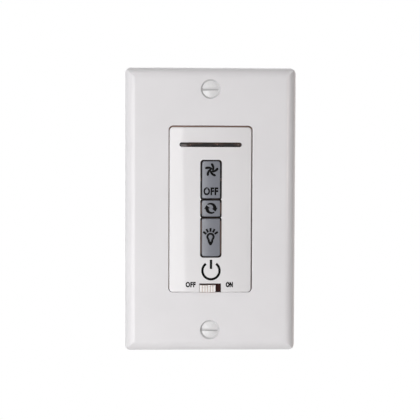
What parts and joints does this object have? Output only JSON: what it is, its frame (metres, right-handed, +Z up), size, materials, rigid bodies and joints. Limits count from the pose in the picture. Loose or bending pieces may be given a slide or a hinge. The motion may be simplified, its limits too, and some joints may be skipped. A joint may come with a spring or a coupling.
{
  "type": "fan wall control",
  "caption": "White wall control for a ceiling fan and light: crowned face with grey keys, a dark indicator slot and a small slide, in a screwed wall plate with a strap and a rear housing.",
  "frame": {"origin": "on the wall surface, midway between the two wall box screws", "axes": "+X to the right of someone facing the control, +Y into the wall, +Z up"},
  "size_m": [0.069, 0.0356, 0.1142],
  "materials": {
    "white_plate": "glossy white moulded plastic of the wall plate",
    "white_face": "satin white moulded plastic of the face and the slide knob",
    "white_screw": "white painted steel",
    "key_grey": "matte blue-grey keys",
    "smoked_lens": "glossy smoked lens",
    "zinc_steel": "zinc plated sheet steel",
    "ground_green": "green painted screw",
    "housing_black": "matte charcoal moulded plastic",
    "carriage_black": "matte black plastic",
    "switch_black": "matte black plastic",
    "stem_white": "natural plastic",
    "board_brown": "brown paper-phenolic circuit board",
    "lamp_clear": "milky lamp resin",
    "film_yellow": "moulded box",
    "can_aluminium": "drawn aluminium can",
    "ferrite_grey": null,
    "copper_wire": "enamelled copper wire",
    "epoxy_black": "moulded epoxy",
    "fuse_glass": "clear glass tube",
    "plated_brass": "nickel plated brass"
  },
  "bodies": {
    "control": {"wall_plate": "white_plate", "plate_screws": "white_screw", "mounting_strap": "zinc_steel", "ground_screw": "ground_green", "face_cover": "white_face", "indicator_lens": "smoked_lens", "indicator_lamp_1": "lamp_clear", "indicator_lamp_2": "lamp_clear", "indicator_lamp_3": "lamp_clear", "indicator_lamp_4": "lamp_clear", "fan_on_switch": "switch_black", "fan_off_switch": "switch_black", "reverse_switch": "switch_black", "light_switch": "switch_black", "slide_switch": "switch_black", "control_board": "board_brown", "power_board": "board_brown", "board_header": "epoxy_black", "controller_chip": "epoxy_black", "rear_housing": "housing_black", "clamp_screws": "zinc_steel", "film_capacitor": "film_yellow", "filter_capacitor": "can_aluminium", "choke_core": "ferrite_grey", "choke_winding": "copper_wire", "triac": "epoxy_black", "fuse_tube": "fuse_glass", "fuse_caps": "plated_brass"},
    "fan_key": {"fan_key": "key_grey"},
    "fan_on_stem": {"fan_on_stem": "stem_white"},
    "fan_off_stem": {"fan_off_stem": "stem_white"},
    "reverse_key": {"reverse_key": "key_grey", "reverse_stem": "stem_white"},
    "light_key": {"light_key": "key_grey", "light_stem": "stem_white"},
    "power_slide": {"slide_knob": "white_face", "slide_carriage": "carriage_black", "slide_lever": "carriage_black"}
  },
  "joints": [
    {"name": "fan_on_stem_press", "type": "slide", "parent": "control", "child": "fan_on_stem", "axis": [0, 1, 0], "range_m": [-0.00015, 0.00015], "stiffness_N_per_m": 1000},
    {"name": "fan_off_stem_press", "type": "slide", "parent": "control", "child": "fan_off_stem", "axis": [0, 1, 0], "range_m": [-0.00016, 0.00016]},
    {"name": "fan_key_rock", "type": "hinge", "parent": "control", "child": "fan_key", "pos_m": [0.00022, -0.0039, 0.01212], "axis": [-1, 0, 0], "range_deg": [-2, 2]},
    {"name": "reverse_key_press", "type": "slide", "parent": "control", "child": "reverse_key", "axis": [0, 1, 0], "range_m": [0, 0.0004], "stiffness_N_per_m": 1000},
    {"name": "light_key_press", "type": "slide", "parent": "control", "child": "light_key", "axis": [0, 1, 0], "range_m": [0, 0.0004], "stiffness_N_per_m": 1000},
    {"name": "power_slide_shift", "type": "slide", "parent": "control", "child": "power_slide", "axis": [1, 0, 0], "range_m": [0, 0.002]}
  ],
  "couplings": [
    {"joint": "fan_key_rock", "follows": "fan_on_stem_press", "rad_per_m": 232.56},
    {"joint": "fan_off_stem_press", "follows": "fan_on_stem_press", "ratio": -1}
  ]
}
